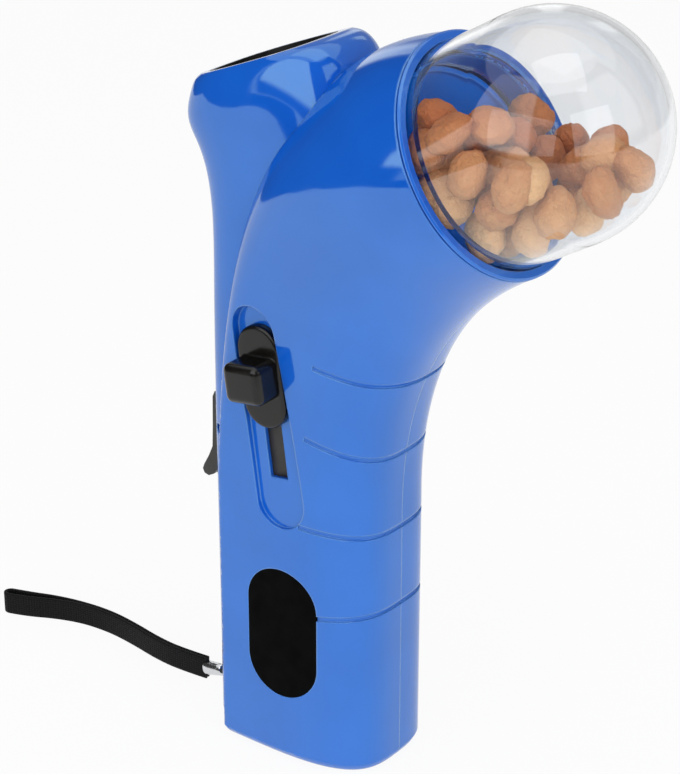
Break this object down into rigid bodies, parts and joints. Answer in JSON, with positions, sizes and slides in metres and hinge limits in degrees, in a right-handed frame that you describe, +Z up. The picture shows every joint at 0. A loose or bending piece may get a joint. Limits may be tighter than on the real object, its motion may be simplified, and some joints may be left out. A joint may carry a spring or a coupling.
{
  "type": "pet treat launcher",
  "caption": "Hand-held treat launcher: bent casing with a clear hopper dome at the front, a rear muzzle, a side cocking slider, a back paddle trigger and a wrist strap.",
  "frame": {"origin": "centre of the flat base of the handle", "axes": "+Z up along the handle, +X towards the hopper dome, -Y the side with the cocking slider; Y = 0 is the casing's seam plane"},
  "size_m": [0.2272, 0.0662, 0.2319],
  "materials": {
    "shell_plastic": "high gloss moulded blue ABS, very light orange peel",
    "housing_plastic": "high gloss moulded blue ABS",
    "collar_plastic": "high gloss moulded blue ABS ring",
    "funnel_plastic": "blue moulded plastic, seen through the dome",
    "label_plastic": "plain black satin inlay, bare",
    "knob_plastic": "black satin moulded plastic with soft edges",
    "trigger_plastic": "dark grey satin moulded plastic",
    "tube_plastic": "black moulded plastic",
    "piston_plastic": "white low-friction plastic",
    "bumper_rubber": "black rubber",
    "screw_steel": "blackened steel screws",
    "rod_steel": "ground steel",
    "spring_steel": "drawn spring steel",
    "crimp_metal": "bright nickel-plated metal",
    "cord_fabric": "thin black braided cord",
    "webbing": "black woven webbing, two layers",
    "kibble": "dry pet food, tan to orange brown, porous",
    "dome_clear": "clear polycarbonate, glossy"
  },
  "bodies": {
    "casing": {"left_shell": "shell_plastic", "right_shell": "shell_plastic", "label_inlay": "label_plastic", "shell_screws": "screw_steel", "muzzle_housing": "housing_plastic", "launch_tube": "tube_plastic", "slider_bumper": "bumper_rubber", "spring_seat": "tube_plastic", "guide_rod": "rod_steel", "mainspring": "spring_steel", "hopper_funnel": "funnel_plastic", "dome_collar": "collar_plastic", "trigger_pin": "rod_steel", "trigger_spring": "spring_steel", "strap_cord": "cord_fabric", "strap_crimp": "crimp_metal", "wrist_strap": "webbing", "treats": "kibble"},
    "plunger": {"piston": "piston_plastic", "piston_pad": "bumper_rubber", "slider_arm": "tube_plastic", "slider_knob": "knob_plastic"},
    "paddle": {"trigger": "trigger_plastic"},
    "hopper": {"dome": "dome_clear", "dome_seal": "bumper_rubber"}
  },
  "joints": [
    {"name": "cocking_slide", "type": "slide", "parent": "casing", "child": "plunger", "axis": [0.134, 0, -0.991], "range_m": [0, 0.027], "stiffness_N_per_m": 180, "springref_m": -0.012, "deforming": ["mainspring"]},
    {"name": "trigger_pivot", "type": "hinge", "parent": "casing", "child": "paddle", "pos_m": [-0.0283, 0, 0.0978], "axis": [0, -1, 0], "range_deg": [0, 9], "stiffness_Nm_per_rad": 0.12, "springref_deg": -5.73, "deforming": ["trigger_spring"]},
    {"name": "dome_twist", "type": "hinge", "parent": "casing", "child": "hopper", "pos_m": [0.0507, 0, 0.1914], "axis": [0.8634, 0, 0.5045], "range_deg": [0, 40]}
  ]
}
